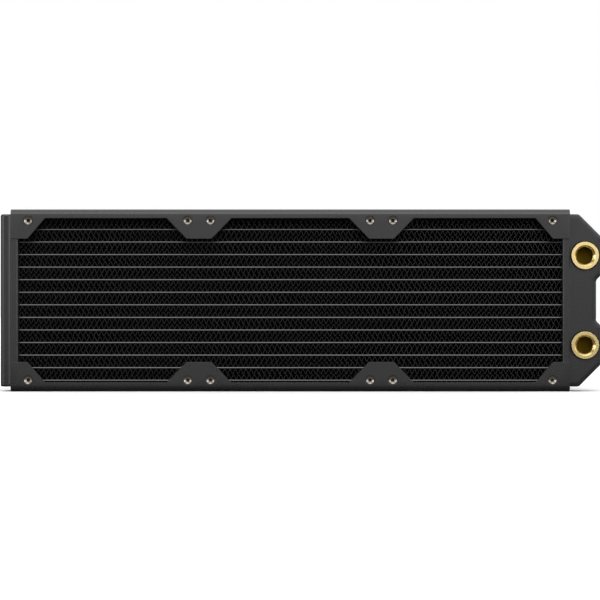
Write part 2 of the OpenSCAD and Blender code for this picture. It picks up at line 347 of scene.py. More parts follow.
# %% Group: turning rings
def make_turning_rings():
    tree, given, result = new_group(
        "turning rings",
        [
            ("Position", "NodeSocketVector", None),
            ("Rings per Metre", "NodeSocketFloat", 4000.0),
            ("Depth", "NodeSocketFloat", 0.2),
            ("Smoothest", "NodeSocketFloat", 0.2),
            ("Roughest", "NodeSocketFloat", 0.35),
        ],
        [
            ("Mask", "NodeSocketFloat"),
            ("Roughness", "NodeSocketFloat"),
            ("Normal", "NodeSocketVector"),
        ],
    )
    link = tree.links.new
    flat = add_node(tree, "ShaderNodeVectorMath", {"operation": "MULTIPLY"}, {1: (1, 0, 1)})
    reach = add_node(tree, "ShaderNodeVectorMath", {"operation": "LENGTH"})
    rings = add_node(tree, "ShaderNodeTexNoise", {"noise_dimensions": "1D"}, {"Detail": 2.0})
    tarnish = add_node(tree, "ShaderNodeTexNoise", values={"Scale": 220.0, "Detail": 4.0})
    bump = add_node(tree, "ShaderNodeBump", values={"Distance": 0.01 * MM})
    gloss = add_node(tree, "ShaderNodeMapRange", values={"From Min": 0.25, "From Max": 0.75})
    link(given.outputs["Position"], flat.inputs[0])
    link(flat.outputs["Vector"], reach.inputs[0])
    link(reach.outputs["Value"], rings.inputs["W"])
    link(given.outputs["Rings per Metre"], rings.inputs["Scale"])
    link(given.outputs["Position"], tarnish.inputs["Vector"])
    link(rings.outputs["Fac"], bump.inputs["Height"])
    link(given.outputs["Depth"], bump.inputs["Strength"])
    link(rings.outputs["Fac"], gloss.inputs["Value"])
    link(given.outputs["Smoothest"], gloss.inputs["To Min"])
    link(given.outputs["Roughest"], gloss.inputs["To Max"])
    link(tarnish.outputs["Fac"], result.inputs["Mask"])
    link(gloss.outputs["Result"], result.inputs["Roughness"])
    link(bump.outputs["Normal"], result.inputs["Normal"])
    return tree


turning_rings = make_turning_rings()
print(turning_rings.name, len(turning_rings.nodes), "nodes")

# %% [markdown]
# ## The finishes themselves
#
# A few paints and three bare metals cover the object. The fins carry two copies of one paint: the folds a
# near-black, nearly mirrorless one that paints in the shade deep in the core, and the edges a lighter, lit
# one.
#
# The Principled shader stays in each material, and the groups only feed it colours, values and normals.
# Numbers that are the same all over, such as how strongly the paint mirrors, are set on the shader
# itself. Each paint is one call with a few pairs of numbers, so the paints are easy to compare.

# %% Paints
def new_material(name):
    material = bpy.data.materials.new(name)
    material.use_nodes = True
    tree = material.node_tree
    return material, tree, tree.nodes["Principled BSDF"]


def add_group(tree, group, values):
    node = tree.nodes.new("ShaderNodeGroup")
    node.node_tree = group
    for label, value in values.items():
        node.inputs[label].default_value = value
    return node


def grey(level):
    return (level, level, level, 1)


def black_paint(name, grain, level, roughness, rub, shine=0.5):
    """Takes pairs: grains per metre and depth, dark and light, smooth and rough, rub and its level."""
    material, tree, shader = new_material(name)
    shader.inputs["Specular IOR Level"].default_value = shine
    link = tree.links.new
    coat = add_group(tree, paint_grain, {
        "Grain per Metre": grain[0],
        "Depth": grain[1],
        "Dark": grey(level[0]),
        "Light": grey(level[1]),
        "Smoothest": roughness[0],
        "Roughest": roughness[1],
    })
    rubbed = add_group(tree, edge_rub, {"Amount": rub[0]})
    worn = add_node(tree, "ShaderNodeMix", {"data_type": "RGBA"})
    worn.inputs["B"].default_value = grey(rub[1])
    link(rubbed.outputs["Mask"], worn.inputs["Factor"])
    link(coat.outputs["Color"], worn.inputs["A"])
    link(worn.outputs["Result"], shader.inputs["Base Color"])
    link(coat.outputs["Roughness"], shader.inputs["Roughness"])
    link(coat.outputs["Normal"], shader.inputs["Normal"])
    return material


powder_coat = black_paint(
    "black powder coat", grain=(1400.0, 0.25), level=(0.014, 0.019), roughness=(0.25, 0.31),
    rub=(0.5, 0.05),
)
core_paint = black_paint(
    "black core paint", grain=(900.0, 0.15), level=(0.013, 0.018), roughness=(0.15, 0.21),
    rub=(0.3, 0.05), shine=0.95,
)
# Painted shade and light: the fold paint is near black with hardly any mirror, for the shade deep in the
# core, and the edge paint is its lighter, lit copy.
fin_shade_paint = black_paint(
    "fin fold paint near black as painted shade", grain=(2600.0, 0.3), level=(0.001, 0.003), roughness=(0.7, 0.9),
    rub=(0.2, 0.006), shine=0.01,
)
fin_lit_edge_paint = black_paint(
    "fin edge paint lighter lit copy", grain=(2600.0, 0.2), level=(0.029, 0.041), roughness=(0.35, 0.5),
    rub=(0.2, 0.05),
)
guard_paint = black_paint(
    "guard paint", grain=(1800.0, 0.2), level=(0.03, 0.045), roughness=(0.35, 0.5),
    rub=(0.4, 0.07),
)
for paint in (powder_coat, core_paint, fin_shade_paint, fin_lit_edge_paint, guard_paint):
    print("paint:", paint.name)

# %% [markdown]
# ### Bare metals and rubber
#
# The ports and the screw bushes are turned and stay bare, and the inside of the port tank is brass, tinted
# far darker than brass as painted shade for the inside of the tank. Metal has no colour under its mirror, so
# Metallic is 1 and Base Color tints what it mirrors.
#
# The rings have to run round each port's own axis, so a Mapping node moves the middle of the pattern
# there, and each port gets its own copy of the brass. On the tank and the small bushes nobody can see
# where the rings have their middle, so one material is enough for each. The rubber of the seals is made
# with the helper for paints: darker and rougher than they are, with hardly any mirror, so that the seal
# paints in the shade round each port's flange as a dark line.

# %% Bare metals and rubber
def turned_metal(name, centre, dark, light, roughness, rings):
    """Takes pairs: smooth and rough, rings per metre and their depth."""
    material, tree, shader = new_material(name)
    link = tree.links.new
    place = add_node(tree, "ShaderNodeTexCoord").outputs["Object"]
    centred = add_node(tree, "ShaderNodeMapping", values={"Location": [-value for value in centre]})
    marks = add_group(tree, turning_rings, {
        "Rings per Metre": rings[0],
        "Depth": rings[1],
        "Smoothest": roughness[0],
        "Roughest": roughness[1],
    })
    tone = add_node(tree, "ShaderNodeMix", {"data_type": "RGBA"})
    tone.inputs["A"].default_value = (*dark, 1)
    tone.inputs["B"].default_value = (*light, 1)
    shader.inputs["Metallic"].default_value = 1.0
    link(place, centred.inputs["Vector"])
    link(centred.outputs["Vector"], marks.inputs["Position"])
    link(marks.outputs["Mask"], tone.inputs["Factor"])
    link(tone.outputs["Result"], shader.inputs["Base Color"])
    link(marks.outputs["Roughness"], shader.inputs["Roughness"])
    link(marks.outputs["Normal"], shader.inputs["Normal"])
    return material


port_places = {}
for side in ("upper", "lower"):
    low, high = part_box(side + "_port")
    port_places[side] = Vector(((low.x + high.x) / 2, low.y, (low.z + high.z) / 2))
port_brass = {
    side: turned_metal(
        side + " port brass", place, dark=(0.78, 0.60, 0.26), light=(0.88, 0.70, 0.33),
        roughness=(0.16, 0.26), rings=(5000.0, 0.2),
    )
    for side, place in port_places.items()
}
# The inside brass is tinted far darker than brass: painted shade for the inside of the tank.
shaded_tank_brass = turned_metal(
    "brass inside darkened as painted shade", (0, 0, 0), dark=(0.30, 0.19, 0.012), light=(0.38, 0.25, 0.02),
    roughness=(0.45, 0.6), rings=(300.0, 0.3),
)
bush_steel = turned_metal(
    "bush steel", (0, 0, 0), dark=(0.40, 0.37, 0.32), light=(0.50, 0.47, 0.41),
    roughness=(0.25, 0.4), rings=(3000.0, 0.2),
)
seal_shade_rubber = black_paint(
    "black seal rubber as painted shade", grain=(3000.0, 0.2), level=(0.003, 0.006), roughness=(0.6, 0.8),
    rub=(0.0, 0.01), shine=0.1,
)
print("ports at", {side: [round(v / MM, 2) for v in place] for side, place in port_places.items()})

# %% [markdown]
# ## Side rails
#
# Each long side is one sheet, folded into a channel. Its flange rises into trapezoid tabs where the
# fan screws go. A channel can be extruded from a section, but the tabs make the section change along the
# rail. So this is done as a sheet-metal shop does it: cut the flat flange with its tabs and holes first,
# then fold. Spin makes the fold, Extrude the flat web, Mirror the other flange, and Solidify the
# thickness of the sheet.

# %% Fold the rails
RAIL_SHEET = 1.2 * MM
RAIL_BEND = 4 * MM
RAIL_CUTS = 65  # along the fold, so that the filled flange has fewer slivers
RAIL_EDGE = 0.25 * MM
LIP_HEIGHT = 6 * MM
TAB_HEIGHT = rail_high.z
END_TAB = (11.2 * MM, 22.7 * MM)  # width at the tip and at the foot
MID_TAB = (8.2 * MM, 21.3 * MM)  # half of that
BUSH_RADIUS = 3 * MM


def flange_outline():
    tip, foot = END_TAB
    half_tip, half_foot = MID_TAB
    points = [
        (rail_low.x, RAIL_BEND),
        (rail_low.x, TAB_HEIGHT),
        (rail_low.x + tip, TAB_HEIGHT),
        (rail_low.x + foot, LIP_HEIGHT),
    ]
    for left, right in zip(fan_centres, fan_centres[1:]):
        x = (left + right) / 2
        points += [
            (x - half_foot, LIP_HEIGHT),
            (x - half_tip, TAB_HEIGHT),
            (x + half_tip, TAB_HEIGHT),
            (x + half_foot, LIP_HEIGHT),
        ]
    return points + [
        (rail_high.x - foot, LIP_HEIGHT),
        (rail_high.x - tip, TAB_HEIGHT),
        (rail_high.x, TAB_HEIGHT),
        (rail_high.x, RAIL_BEND),
    ]


def folded_rail():
    bm = bmesh.new()
    corners = [bm.verts.new((x, FRONT_Y, z)) for x, z in flange_outline()]
    rim = [bm.edges.new(pair) for pair in zip(corners, corners[1:] + corners[:1])]
    split = bmesh.ops.subdivide_edges(bm, edges=[rim[-1]], cuts=RAIL_CUTS)["geom_split"]
    fold_line = only(bmesh.types.BMEdge, split)
    for x in screw_columns:
        stand_up = Matrix.Translation((x, FRONT_Y, SCREW_Z)) @ Matrix.Rotation(math.pi / 2, 4, "X")
        bmesh.ops.create_circle(bm, segments=32, radius=BUSH_RADIUS, matrix=stand_up)
    fill_between(bm, [bm.edges[:]])
    bend = bmesh.ops.spin(
        bm, geom=fold_line, cent=(0, FRONT_Y + RAIL_BEND, RAIL_BEND),
        axis=(1, 0, 0), angle=math.pi / 2, steps=10, use_merge=False,
    )
    pull(bm, only(bmesh.types.BMEdge, bend["geom_last"]), (0, -FRONT_Y - RAIL_BEND, 0))
    bmesh.ops.mirror(
        bm, geom=everything(bm), matrix=Matrix.Identity(4), merge_dist=SAME_PLACE, axis="Y"
    )
    face_towards(bm, (0, 0, -1))
    give_thickness(bm, RAIL_SHEET)
    return bm


def turn_over(bm):
    """Mirrors a finished lower piece to the top of the radiator."""
    flip = Matrix.Translation((0, 0, HEIGHT)) @ Matrix.Scale(-1, 4, (0, 0, 1))
    bmesh.ops.transform(bm, matrix=flip, verts=bm.verts[:])
    bmesh.ops.reverse_faces(bm, faces=bm.faces[:])
    return bm


for node, bm in (("lower_rail", folded_rail()), ("upper_rail", turn_over(folded_rail()))):
    piece = make_piece("folded_" + node, bm, [powder_coat], [node])
    soften_edges(piece, RAIL_EDGE)

# %% [markdown]
# ## Header pans
#
# A header is a shallow pan. Its floor faces the core and has a slot for each tube, and its rim holds the
# tank. The floor meets the rim in a small bend, which shows as a bright line beside the core.
#
# The floor starts as one rectangle whose corners are rounded by bevelling its vertices. Extrude makes
# the rim and its rolled lip, and a bevel makes both bends. The slots come last: the floor is taken out
# and filled again round a loop for each tube, because a filled face can have holes and a bevelled one
# is easier to make without them.

# %% Press the headers
HEADER_SHEET = 1.0 * MM
HEADER_CORNER = 2.5 * MM
HEADER_BEND = 0.9 * MM
ROLLED_BEND = 0.5 * MM
BEND_PROFILE = 0.32  # 0.5 is a quarter circle, and less is flatter
LIP_LEDGE = 0.9 * MM
SLOT_ROOM = 0.05 * MM
HEADER_EDGE = 0.12 * MM
TUBE_NODES = [f"flat_tube_{number:02d}" for number in range(1, 15)]
tube_low, tube_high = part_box(TUBE_NODES[0])
TUBE_THICKNESS = tube_high.z - tube_low.z
TUBE_DEPTH = tube_high.y - tube_low.y
tube_levels = []
for node in TUBE_NODES:
    low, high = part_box(node)
    tube_levels.append((low.z + high.z) / 2)


def slot_loop(bm, x, z, grow=0.0, segments=20):
    """A loop round a tube: a circle whose two halves are pulled apart."""
    turn = Matrix.Rotation(math.pi / 2, 4, "Y") @ Matrix.Rotation(math.pi / segments, 4, "Z")
    at = Matrix.Translation((x, 0, z)) @ turn
    radius = TUBE_THICKNESS / 2 + grow
    ring = bmesh.ops.create_circle(bm, segments=segments, radius=radius, matrix=at)["verts"]
    pull = (TUBE_DEPTH - TUBE_THICKNESS) / 2
    for side in (-1, 1):
        half = [vert for vert in ring if vert.co.y * side > 0]
        bmesh.ops.translate(bm, verts=half, vec=(0, side * pull, 0))
    return ring


def pressed_header(node, towards_core):
    low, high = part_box(node)
    floor_x, rim_x = (high.x, low.x) if towards_core > 0 else (low.x, high.x)
    bm = bmesh.new()
    corners = [(low.y, low.z), (high.y, low.z), (high.y, high.z), (low.y, high.z)]
    bm.faces.new([bm.verts.new((floor_x, y, z)) for y, z in corners])
    bmesh.ops.bevel(
        bm, geom=bm.verts[:], offset=HEADER_CORNER, segments=5, profile=0.5, affect="VERTICES", material=-1
    )
    border = bm.edges[:]
    rim = pull(bm, border, (rim_x - floor_x, 0, 0))
    rolled = [edge for edge in only(bmesh.types.BMEdge, rim) if edge.is_boundary]
    lip = only(bmesh.types.BMVert, bmesh.ops.extrude_edge_only(bm, edges=rolled)["geom"])
    middle = Matrix.Translation((0, 0, -MIDDLE_Z))
    size = high - low
    pull_in = Matrix.Diagonal((1, 1 - 2 * LIP_LEDGE / size.y, 1 - 2 * LIP_LEDGE / size.z, 1))
    bmesh.ops.transform(bm, matrix=pull_in, space=middle, verts=lip)
    for edges, width in ((border, HEADER_BEND), (rolled, ROLLED_BEND)):
        round_edges(bm, edges, width, segments=4, profile=BEND_PROFILE)
    floor = max(bm.faces, key=lambda face: face.calc_area() if abs(face.normal.x) > FACING else 0)
    outline = floor.edges[:]
    bmesh.ops.delete(bm, geom=[floor], context="FACES_ONLY")
    slots = [edges_of(slot_loop(bm, floor_x, z, grow=SLOT_ROOM)) for z in tube_levels]
    fill_between(bm, [outline, *slots])
    face_towards(bm, (towards_core, 0, 0))
    give_thickness(bm, HEADER_SHEET)
    return bm


for node, towards_core in (("left_header", 1), ("right_header", -1)):
    bm = pressed_header(node, towards_core)
    piece = make_piece("pressed_" + node, bm, [powder_coat], [node])
    keep_flats_flat(soften_edges(piece, HEADER_EDGE, segments=2, angle=50))

# %% [markdown]
# ## Return tank
#
# The far end is closed by a pressed cap. Seen from above its edge is bevelled, its side has a shallow
# waist, and it flares out again to meet the header. That outline is drawn once as half a curve, mirrored,
# extruded over the height and capped. The end corners are rounded by a bevel. An inner skin, a sheet's
# thickness inside, makes it a real shell.

# %% Press the return tank
TANK_SHEET = 1.2 * MM
END_ROUND = 1.3 * MM
return_low, return_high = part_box("return_tank")
RETURN_OUTLINE = [  # distance from the radiator's end, distance from the middle plane
    (0.0, 10.35), (0.3, 10.9), (0.9, 11.6), (1.5, 12.15), (2.1, 12.55),
    (2.35, 12.63), (2.6, 12.62), (3.2, 12.46), (3.8, 12.3), (4.4, 12.16),
    (5.0, 12.08), (5.5, 12.16), (6.0, 12.4), (6.5, 12.8), (7.0, 13.3),
]


def capped_outline(bm, half_outline, low_z, high_z):
    """Extrudes an outline that is open towards the header, closes both ends and returns the caps."""
    path = half_outline + [(x, -y) for x, y in reversed(half_outline)]
    foot = [bm.verts.new((x, y, low_z)) for x, y in path]
    for pair in zip(foot, foot[1:]):
        bm.edges.new(pair)
    top = only(bmesh.types.BMVert, pull(bm, edges_of(foot), (0, 0, high_z - low_z)))
    caps = []
    for ring in (foot, top):
        ends = [vert for vert in ring if abs(vert.co.x - half_outline[0][0]) < SAME_PLACE]
        bm.edges.new(ends)
        caps.append(bmesh.ops.contextual_create(bm, geom=edges_of(ring))["faces"][0])
    return caps


def pressed_return_tank():
    bm = bmesh.new()
    outer = [(return_low.x + x * MM, y * MM) for x, y in reversed(RETURN_OUTLINE)]
    caps = capped_outline(bm, outer, return_low.z, return_high.z)
    mouth_x = outer[0][0]
    rims = [edge for cap in caps for edge in cap.edges]
    rims = [edge for edge in rims if any(abs(vert.co.x - mouth_x) > SAME_PLACE for vert in edge.verts)]
    round_edges(bm, rims, END_ROUND, segments=5)
    outer_mouth = [edge for edge in bm.edges if edge.is_boundary]
    inner = [(max(x, return_low.x + TANK_SHEET), y - TANK_SHEET) for x, y in outer]
    inner_low, inner_high = return_low.z + TANK_SHEET, return_high.z - TANK_SHEET
    before = set(bm.edges)
    capped_outline(bm, inner, inner_low, inner_high)
    inner_mouth = [edge for edge in bm.edges if edge.is_boundary and edge not in before]
    fill_between(bm, [outer_mouth, inner_mouth])
    bmesh.ops.remove_doubles(bm, verts=bm.verts[:], dist=SAME_PLACE)
    bmesh.ops.recalc_face_normals(bm, faces=bm.faces[:])
    return bm


bm = pressed_return_tank()
piece = make_piece("pressed_return_tank", bm, [powder_coat], ["return_tank"], smooth_angle=50)
keep_flats_flat(piece)

# %% [markdown]
# ## Port tank
#
# The near end has two cut corners, and its wall bulges beside the ports. Its outline is drawn in the
# upright plane and extruded over the depth. A pressed face isn't flat up to its rim: it falls away
# softly. Insetting the face a few times, each time with less rise, gives that crown, and a small bevel
# ends it. The block is made longer than the tank and cut at the mouth, where the real face stays flat.

# %% Draw the tank's outline
TANK_CHAMFER = 15 * MM
BULGE = 3.5 * MM
BULGE_START = 13.4 * MM
SPIGOT_RADIUS = 7.5 * MM
CROWN_WIDTH = 3.2 * MM
CROWN_RISE = 0.4 * MM
CROWN_STEPS = 4
CORNER_ROUND = 1.2 * MM
RIM_ROUND = 0.5 * MM
RIM_ANGLE = math.radians(50)
TANK_DEPTH = 25.6 * MM
collar_low, collar_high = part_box("left_header")
TANK_HEIGHT = collar_high.z - collar_low.z
TANK_END_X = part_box("port_tank")[1].x
MOUTH_X = rail_high.x


def tank_outline(inset, start_x):
    """Corners of the port tank in X and Z, moved inwards by an inset."""
    slant = inset * (math.sqrt(2) - 1)
    top = TANK_HEIGHT / 2 - inset
    end = TANK_END_X - inset
    waist = TANK_END_X - BULGE - inset
    cut = TANK_END_X + TANK_HEIGHT / 2 - TANK_CHAMFER - inset * math.sqrt(2)
    upper = [
        (start_x, top),
        (cut - top, top),
        (end, cut - end),
        (end, BULGE_START + BULGE + slant),
        (waist, BULGE_START + slant),
    ]
    return [(x, MIDDLE_Z + z) for x, z in upper] + [(x, MIDDLE_Z - z) for x, z in reversed(upper)]


def crown(bm, faces, rise):
    """Insets faces a few times, each time with less rise."""
    for step in range(CROWN_STEPS):
        before, after = step / CROWN_STEPS, (step + 1) / CROWN_STEPS
        lift = rise * ((1 - before) ** 2 - (1 - after) ** 2)
        for face in faces:
            bmesh.ops.inset_region(
                bm, faces=[face], thickness=CROWN_WIDTH / CROWN_STEPS, depth=lift, use_even_offset=True
            )


def tank_block(inset, half_depth, crown_rise):
    """A block with the tank's outline, cut open at the mouth."""
    bm = bmesh.new()
    rim_depth = half_depth - crown_rise
    points = tank_outline(inset, MOUTH_X - 2 * CROWN_WIDTH)
    front = bm.faces.new([bm.verts.new((x, -rim_depth, z)) for x, z in points])
    block = bmesh.ops.extrude_face_region(bm, geom=[front])
    far = only(bmesh.types.BMVert, block["geom"])
    bmesh.ops.translate(bm, verts=far, vec=(0, 2 * rim_depth, 0))
    bmesh.ops.recalc_face_normals(bm, faces=bm.faces[:])
    if crown_rise:
        round_edges(bm, [edge for edge in bm.edges if runs_deep(edge)], CORNER_ROUND, segments=4)
        crown(bm, [face for face in bm.faces if abs(face.normal.y) > FACING], crown_rise)
        bm.normal_update()
        rims = [edge for edge in bm.edges if edge.calc_face_angle() > RIM_ANGLE]
        round_edges(bm, rims, RIM_ROUND, segments=3)
    cut_away(bm, MOUTH_X, -1)
    return bm


print("port tank", round((TANK_END_X - MOUTH_X) / MM, 2), "by", round(TANK_HEIGHT / MM, 2), "mm")

# %% [markdown]
# ### From two blocks to a shell
#
# Two blocks make the tank: the outer one with its crown, and a plain one that is smaller by the
# thickness of the sheet. Each block's front face is taken out and filled again round two circles, and
# its mouth is open. Joining the open edges of one block to those of the other makes one closed shell,
# with a true thickness at every opening. Solidify would be quicker, but the sheet is thicker than the
# rim is round, so its inner wall would cross itself there.
#
# The inner skin is bare brass, tinted far darker than brass as painted shade for the inside of the tank, so
# it shows as a dark gold glow through the ports. The plate that divides the tank keeps its CAD shape and gets
# the same darkened brass.

# %% Press the port tank
def cut_ports(bm, half_depth):
    """Fills the front face again round the two port holes."""
    flat_front = [face for face in bm.faces if abs(face.calc_center_median().y + half_depth) < SAME_PLACE]
    front = max(flat_front, key=lambda face: face.calc_area())
    outline = front.edges[:]
    bmesh.ops.delete(bm, geom=[front], context="FACES_ONLY")
    holes = []
    for place in port_places.values():
        at = Matrix.Translation((place.x, -half_depth, place.z)) @ Matrix.Rotation(math.pi / 2, 4, "X")
        ring = bmesh.ops.create_circle(bm, segments=64, radius=SPIGOT_RADIUS, matrix=at)["verts"]
        holes.append(edges_of(ring))
    fill_between(bm, [outline, *holes])


def add_skin(bm, inset, half_depth, crown_rise, finish):
    """Adds one skin of the tank and returns its open edges: the mouth, and one ring for each port."""
    block = tank_block(inset, half_depth, crown_rise)
    cut_ports(block, half_depth)
    mesh = bpy.data.meshes.new("skin")
    block.to_mesh(mesh)
    block.free()
    start_face, start_edge = len(bm.faces), len(bm.edges)
    bm.from_mesh(mesh)
    bm.faces.ensure_lookup_table()
    bm.edges.ensure_lookup_table()
    for face in bm.faces[start_face:]:
        face.material_index = finish
    open_edges = [edge for edge in bm.edges[start_edge:] if edge.is_boundary]
    mouth = [edge for edge in open_edges if all(abs(vert.co.x - MOUTH_X) < SAME_PLACE for vert in edge.verts)]
    rings = [edge for edge in open_edges if edge not in mouth]
    holes = [
        [edge for edge in rings if abs(edge.verts[0].co.z - place.z) < 2 * SPIGOT_RADIUS]
        for place in port_places.values()
    ]
    return mouth, holes


def pressed_port_tank():
    bm = bmesh.new()
    half_depth = TANK_DEPTH / 2
    outer_mouth, outer_holes = add_skin(bm, 0, half_depth, CROWN_RISE, finish=0)
    inner_mouth, inner_holes = add_skin(bm, TANK_SHEET, half_depth - TANK_SHEET, 0, finish=1)
    for outer_hole, inner_hole in zip(outer_holes, inner_holes):
        bmesh.ops.bridge_loops(bm, edges=outer_hole + inner_hole)
    fill_between(bm, [outer_mouth, inner_mouth])
    bmesh.ops.recalc_face_normals(bm, faces=bm.faces[:])
    return bm


finishes = [powder_coat, shaded_tank_brass]
piece = make_piece("pressed_port_tank", pressed_port_tank(), finishes, ["port_tank"])
keep_flats_flat(piece)
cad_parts["tank_partition"].data.materials.clear()
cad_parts["tank_partition"].data.materials.append(shaded_tank_brass)

# %% [markdown]
# ## Ports
#
# Each port is a turned brass bush, soldered into the tank, with a flat flange for an O-ring and a pipe
# thread inside. A thin seal under the flange, near black and with hardly any mirror, stands in for the shade
# round the flange and paints it in as a dark line.
#
# Turned things are made as on a lathe: half a section is drawn and spun round the axis. Cylinders cut
# from one another would do for a plain bush, but a section holds every bevel and step at once. The
# thread is a small ridge that is spun while it moves along the axis, so it becomes a true helix.

# %% A lathe and a thread
THREAD_FOOT = 0.42  # half of a ridge's width at its foot and at its tip, as shares of the pitch
THREAD_TIP = 0.08
THREAD_SUNK = 0.02 * MM  # how far a ridge stands in the wall, so that no gap shows


def lathe(bm, section, steps=64):
    """Spins a closed section of (radius, depth) points round the Y axis through the origin."""
    verts = [bm.verts.new((radius, depth, 0)) for radius, depth in section]
    edges = [bm.edges.new(pair) for pair in zip(verts, verts[1:] + verts[:1])]
    bmesh.ops.spin(
        bm, geom=verts + edges, cent=(0, 0, 0), axis=(0, 1, 0),
        angle=2 * math.pi, steps=steps, use_merge=True,
    )


def thread(bm, bore, inner, start, end, pitch, steps):
    """A helical ridge on the wall of a bore, which narrows it to an inner radius."""
    turns = (end - start) / pitch - 1
    outer = bore + THREAD_SUNK
    foot, tip = THREAD_FOOT * pitch, THREAD_TIP * pitch
    section = [(outer, -foot), (inner, -tip), (inner, tip), (outer, foot)]
    verts = [bm.verts.new((radius, start + pitch / 2 + depth, 0)) for radius, depth in section]
    ridge = bm.faces.new(verts)
    swept = bmesh.ops.spin(
        bm, geom=verts + ridge.edges[:], cent=(0, 0, 0), axis=(0, 1, 0), dvec=(0, pitch / steps, 0),
        angle=2 * math.pi * turns, steps=round(turns * steps), use_merge=False,
    )
    bmesh.ops.contextual_create(bm, geom=only(bmesh.types.BMEdge, swept["geom_last"]))


def place_copies(template, matrices):
    """One bmesh with a copy of a template mesh at each place."""
    bm = bmesh.new()
    for matrix in matrices:
        start = len(bm.verts)
        bm.from_mesh(template)
        bm.verts.ensure_lookup_table()
        bmesh.ops.transform(bm, matrix=matrix, verts=bm.verts[start:])
    return bm


def as_template(bm):
    """Turns a bmesh into a mesh that can be copied many times."""
    bmesh.ops.recalc_face_normals(bm, faces=bm.faces[:])
    mesh = bpy.data.meshes.new("template")
    bm.to_mesh(mesh)
    bm.free()
    return mesh

# %% [markdown]
# ### The section of a port
#
# The first number of each point is its distance from the axis, and the second its depth behind the
# port's face. The section runs over the flange, down the spigot in the tank, and back up the bore: the
# thread's root, a short plain stretch, and the bevel of the mouth. The seal is a second small section.

# %% Turn the ports
PORT_FLANGE = 9 * MM
PORT_RISE = 2 * MM
PORT_LENGTH = 7.2 * MM
PORT_MOUTH = 6.8 * MM
PORT_BORE = 5.7225 * MM
PORT_LAND = 0.25 * MM
PORT_RELIEF = 0.6 * MM
PORT_THREAD_ROOT = 6.5 * MM
PORT_THREAD_TIP = PORT_BORE + 0.05 * MM
PORT_THREAD_START = 0.4 * MM
PORT_THREAD_PITCH = 1.337 * MM
# The seal stands in for shade: its near-black rubber paints in the dark line round the flange.
SEAL_RADIUS = 9.65 * MM
SEAL_THICKNESS = 0.6 * MM
SEAL_BEVEL = (0.2 * MM, 0.3 * MM)
SEAL_ROOM = (0.02 * MM, 0.01 * MM, 0.05 * MM)  # to the flange, to the tank and to the spigot
PORT_EDGE = 0.35 * MM


def turned_port():
    bm = bmesh.new()
    lip = PORT_MOUTH - PORT_BORE
    flange_room, tank_room, spigot_room = SEAL_ROOM
    seal_top = PORT_RISE - SEAL_THICKNESS
    seal_foot = PORT_RISE - tank_room
    lathe(bm, [
        (PORT_MOUTH, 0),
        (PORT_FLANGE, 0),
        (PORT_FLANGE, seal_top - flange_room),
        (SPIGOT_RADIUS, seal_top - flange_room),
        (SPIGOT_RADIUS, PORT_LENGTH),
        (PORT_THREAD_ROOT, PORT_LENGTH),
        (PORT_THREAD_ROOT, lip + PORT_RELIEF),
        (PORT_BORE, lip + PORT_LAND),
        (PORT_BORE, lip),
    ], steps=96)
    thread(
        bm, PORT_THREAD_ROOT, PORT_THREAD_TIP, lip + PORT_THREAD_START, PORT_LENGTH,
        PORT_THREAD_PITCH, steps=48,
    )
    metal = set(bm.faces)
    lathe(bm, [
        (SPIGOT_RADIUS + spigot_room, seal_top),
        (SEAL_RADIUS - SEAL_BEVEL[0], seal_top),
        (SEAL_RADIUS, seal_top + SEAL_BEVEL[1]),
        (SEAL_RADIUS, seal_foot),
        (SPIGOT_RADIUS + spigot_room, seal_foot),
    ], steps=96)
    for face in bm.faces:
        face.material_index = int(face not in metal)
    return as_template(bm)


port_template = turned_port()
for side, place in port_places.items():
    bm = place_copies(port_template, [Matrix.Translation(place)])
    finishes = [port_brass[side], seal_shade_rubber]
    piece = make_piece("turned_" + side + "_port", bm, finishes, [side + "_port"])
    soften_edges(piece, PORT_EDGE, segments=4, angle=35)

# %% [markdown]
# ## Screw bushes
#
# The fan screws bite into small threaded bushes that are pressed into the tabs. Their faces are painted
# with the rail, and the countersunk mouth is cut afterwards: a thin ring of bright bare metal.
#
# One bush is turned with the lathe and the thread of the ports and then copied to all places, and the
# back of the radiator gets the same set turned round. Turning each one would only take longer.

# %% Turn the bushes
BUSH_ROOM = 0.05 * MM
BUSH_SETBACK = 0.1 * MM
BUSH_BEVEL = 0.15 * MM
BUSH_COLLAR = 4 * MM
BUSH_LENGTH = 3 * MM
BUSH_MOUTH = 2.45 * MM
MOUTH_DEPTH = 0.6 * MM
BUSH_RELIEF = 1.85 * MM
RELIEF_DEPTH = 1.2 * MM
BUSH_BORE = 1.5 * MM
SCREW_START = 1.5 * MM
SCREW_CORE = 1.25 * MM
SCREW_PITCH = 0.5 * MM


def turned_bush():
    bm = bmesh.new()
    rim = BUSH_RADIUS - BUSH_ROOM
    lathe(bm, [
        (BUSH_MOUTH, BUSH_SETBACK),
        (rim - BUSH_BEVEL, BUSH_SETBACK),
        (rim, BUSH_SETBACK + BUSH_BEVEL),
        (rim, RAIL_SHEET),
        (BUSH_COLLAR, RAIL_SHEET),
        (BUSH_COLLAR, BUSH_LENGTH),
        (BUSH_BORE, BUSH_LENGTH),
        (BUSH_BORE, SCREW_START),
        (BUSH_RELIEF, RELIEF_DEPTH),
        (BUSH_RELIEF, MOUTH_DEPTH),
    ], steps=32)
    thread(bm, BUSH_BORE, SCREW_CORE, SCREW_START, BUSH_LENGTH, SCREW_PITCH, steps=16)
    for face in bm.faces:
        out = face.calc_center_median()
        face.material_index = int(math.hypot(out.x, out.z) > BUSH_MOUTH)
    return as_template(bm)


bush_template = turned_bush()
for face_name, turn in (("front", 0), ("rear", math.pi)):
    spots = [
        Matrix.Rotation(turn, 4, "Z") @ Matrix.Translation((x if turn == 0 else -x, FRONT_Y, z))
        for x in screw_columns for z in (SCREW_Z, HEIGHT - SCREW_Z)
    ]
    node = face_name + "_thread_bushes"
    bm = place_copies(bush_template, spots)
    make_piece("turned_" + node, bm, [bush_steel, powder_coat], [node], smooth_angle=30)

